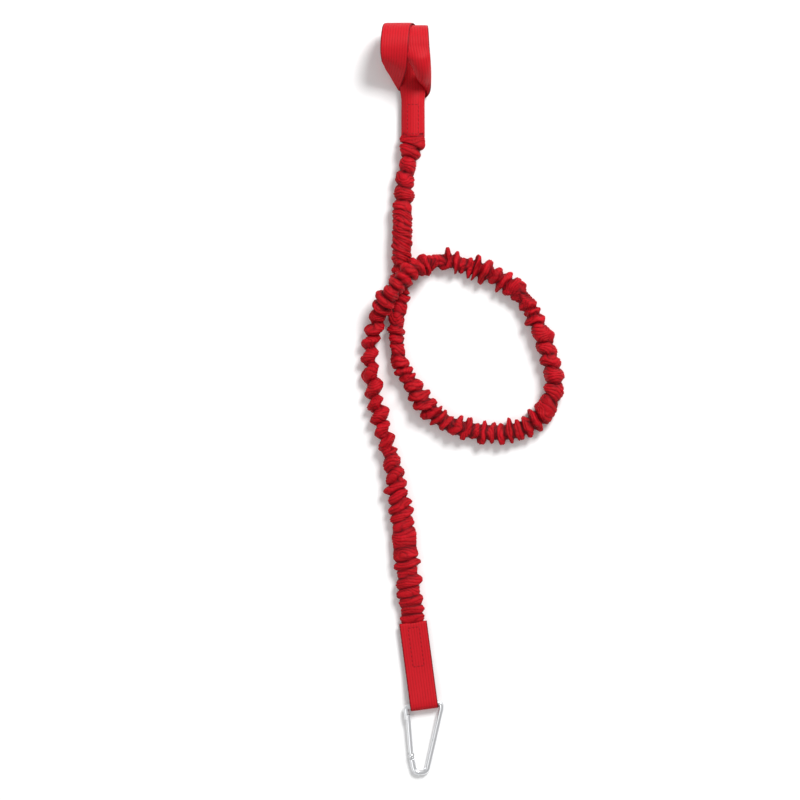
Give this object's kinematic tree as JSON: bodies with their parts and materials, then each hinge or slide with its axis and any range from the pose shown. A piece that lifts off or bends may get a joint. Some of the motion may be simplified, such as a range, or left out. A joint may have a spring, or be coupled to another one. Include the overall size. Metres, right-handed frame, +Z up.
{
  "type": "elastic safety leash",
  "caption": "Elastic safety leash: a girth-hitched webbing loop, a gathered stretch sleeve lying in an open loop, and a sewn tab with a snap hook.",
  "frame": {"origin": "on the table, under the middle of the box round the hitched loop, the hook's tab and the hook", "axes": "+Z up from the table, +Y from the snap hook to the hitched loop, +X to the side on which the open loop lies"},
  "size_m": [0.146, 0.5378, 0.0349],
  "materials": {
    "flat_nylon_webbing": "flat woven red nylon webbing with fine lengthwise ribs",
    "gathered_nylon_sleeve": "thin woven red nylon tube gathered into ruffles",
    "bonded_nylon_thread": "dark red bonded sewing thread",
    "elastic_core_rubber": "off-white latex strands",
    "polished_aluminium": "tumbled and clear anodised round rod",
    "spring_steel": "drawn steel wire and turned pin"
  },
  "bodies": {
    "leash": {"hitch_loop_webbing": "flat_nylon_webbing", "hitch_needle_thread": "bonded_nylon_thread", "hitch_bobbin_thread": "bonded_nylon_thread", "sleeve_end_at_hitch": "gathered_nylon_sleeve", "gathered_sleeve": "gathered_nylon_sleeve", "elastic_core": "elastic_core_rubber", "sleeve_end_at_hook": "gathered_nylon_sleeve", "hook_tab_webbing": "flat_nylon_webbing", "hook_needle_thread": "bonded_nylon_thread", "hook_bobbin_thread": "bonded_nylon_thread"},
    "hook": {"hook_frame": "polished_aluminium", "gate_rivet": "polished_aluminium"},
    "gate": {"hook_gate": "polished_aluminium", "gate_spring": "spring_steel"},
    "plunger": {"gate_plunger": "spring_steel"}
  },
  "joints": [
    {"name": "hook_swing", "type": "hinge", "parent": "leash", "child": "hook", "pos_m": [0.0084, -0.2183, 0.0038], "axis": [-0.9912, -0.1323, 0], "range_deg": [-90, 90]},
    {"name": "gate_hinge", "type": "hinge", "parent": "hook", "child": "gate", "pos_m": [-0.00064, -0.2549, 0.00259], "axis": [-0.0045, 0.0341, -0.9994], "range_deg": [0, 28], "stiffness_Nm_per_rad": 0.1, "springref_deg": -28.65},
    {"name": "plunger_slide", "type": "slide", "parent": "gate", "child": "plunger", "axis": [-0.0783, 0.9963, 0.0343], "range_m": [0, 0.0006], "deforming": ["gate_spring"]}
  ],
  "couplings": [
    {"joint": "plunger_slide", "follows": "gate_hinge", "m_per_rad": 0.00122}
  ]
}
